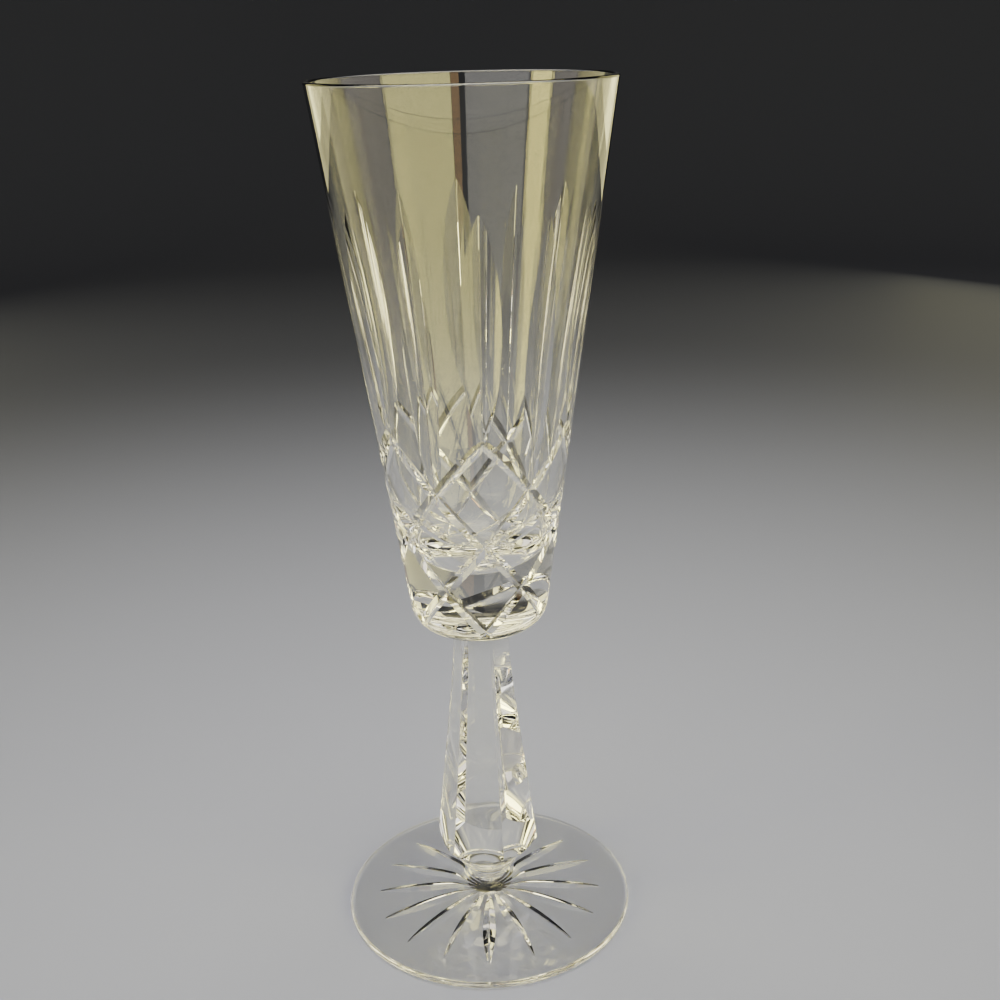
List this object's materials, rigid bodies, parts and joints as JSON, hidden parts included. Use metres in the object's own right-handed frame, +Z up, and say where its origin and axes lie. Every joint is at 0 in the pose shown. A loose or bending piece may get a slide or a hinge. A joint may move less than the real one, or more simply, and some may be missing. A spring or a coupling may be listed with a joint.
{
  "type": "champagne flute",
  "caption": "Cut-crystal champagne flute: tall conical bowl with leaf and lattice cuts, a six-sided stem, a joining collar and a round foot with a star cut.",
  "frame": {"origin": "middle of the foot's resting plane", "axes": "+Z up along the glass's own axis, towards the rim; a main leaf cut faces -Y"},
  "size_m": [0.0674, 0.0674, 0.19],
  "materials": {
    "crystal": "clear lead crystal, fire-polished outside the cuts and acid-polished in them"
  },
  "bodies": {
    "root": {"bowl": "crystal", "stem": "crystal", "collar": "crystal", "foot": "crystal"}
  },
  "joints": []
}
